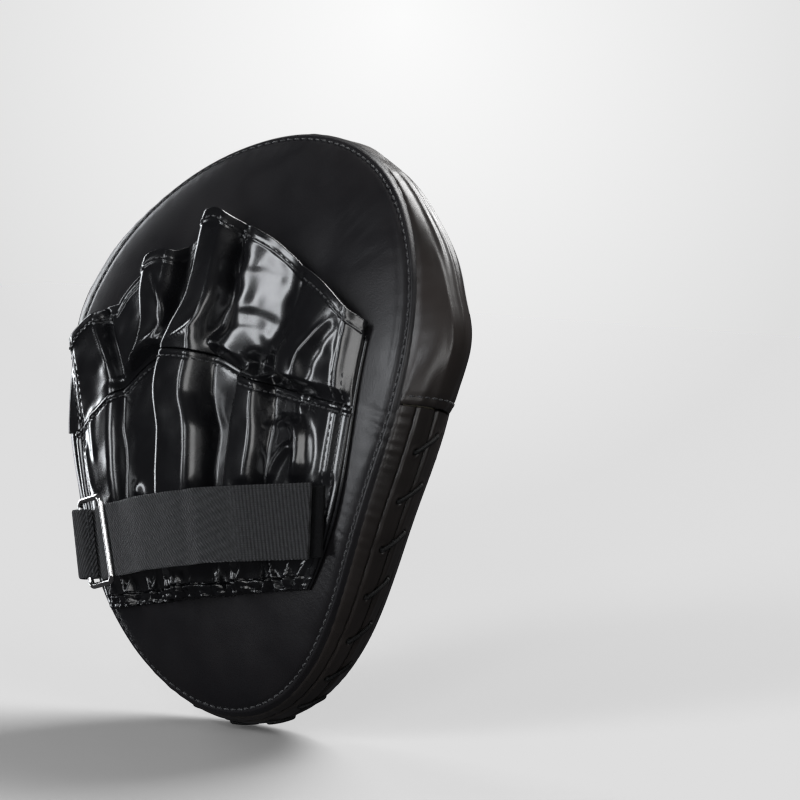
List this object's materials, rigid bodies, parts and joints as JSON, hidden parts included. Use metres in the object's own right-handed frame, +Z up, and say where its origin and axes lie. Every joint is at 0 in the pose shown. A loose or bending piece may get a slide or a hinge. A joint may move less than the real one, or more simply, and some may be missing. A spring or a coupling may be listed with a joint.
{
  "type": "focus mitt",
  "caption": "Curved boxing focus mitt: a thick egg-shaped foam pad in a laced leather case, with a finger glove and a hook-and-loop wrist strap through a metal ring on the hand side.",
  "frame": {"origin": "centre of the striking face, on its outer surface", "axes": "+Z up the mitt to its finger end, +Y out of the striking face, so -Y is the hand side, and +X to the right as seen from the hand side"},
  "size_m": [0.2094, 0.0909, 0.2592],
  "materials": {
    "pad_leather": "fine-grained synthetic leather, satin",
    "wall_leather": "smooth synthetic leather, slightly glossy",
    "gloss_leather": "patent synthetic leather, high gloss",
    "strike_foam": "dense closed-cell foam, matte",
    "core_foam": "soft sponge foam, matte",
    "backing_foam": "stiff foam board, matte",
    "webbing": "woven polyester webbing, matte with a faint sheen",
    "hook_and_loop": "hook and loop tape, matte",
    "cord": "round braided cord, matte",
    "thread": "bonded sewing thread, slight sheen",
    "chrome": "polished plated wire"
  },
  "bodies": {
    "pad": {"strike_panel": "pad_leather", "back_panel": "pad_leather", "strike_foam": "strike_foam", "core_foam": "core_foam", "backing_foam": "backing_foam", "crown_gusset": "wall_leather", "strike_side_gusset": "wall_leather", "back_side_gusset": "wall_leather", "strike_lace_flap": "wall_leather", "back_lace_flap": "wall_leather", "lace_underlay": "wall_leather", "lace_cord": "cord", "strike_seam_thread": "thread", "back_seam_thread": "thread", "gusset_thread_left": "thread", "gusset_thread_right": "thread", "glove_base": "gloss_leather", "hand_cover": "gloss_leather", "finger_cover": "gloss_leather", "elastic_hem": "gloss_leather", "glove_thread_left": "thread", "glove_thread_right": "thread", "mid_seam_thread": "thread", "hem_thread_little": "thread", "hem_thread_ring": "thread", "hem_thread_middle": "thread", "hem_thread_index": "thread", "hem_thread_thumb": "thread", "loop_patch": "hook_and_loop", "ring_keeper": "webbing", "keeper_thread": "thread", "strap_root": "webbing"},
    "ring": {"buckle_ring": "chrome"},
    "strap_inner": {"strap_inner": "webbing"},
    "strap_end": {"strap_end": "webbing", "hook_patch": "hook_and_loop"}
  },
  "joints": [
    {"name": "ring_swing", "type": "hinge", "parent": "pad", "child": "ring", "pos_m": [-0.06066, -0.0561, -0.06395], "axis": [0.2433, 0.157, -0.9571], "range_deg": [0, 140]},
    {"name": "strap_open", "type": "hinge", "parent": "pad", "child": "strap_inner", "pos_m": [-0.03716, -0.06271, -0.06002], "axis": [0.1622, 0.1867, -0.969], "range_deg": [0, 95]},
    {"name": "strap_peel", "type": "hinge", "parent": "strap_inner", "child": "strap_end", "pos_m": [0.00772, -0.07275, -0.05251], "axis": [0.1622, 0.1867, -0.969], "range_deg": [0, 80]}
  ]
}
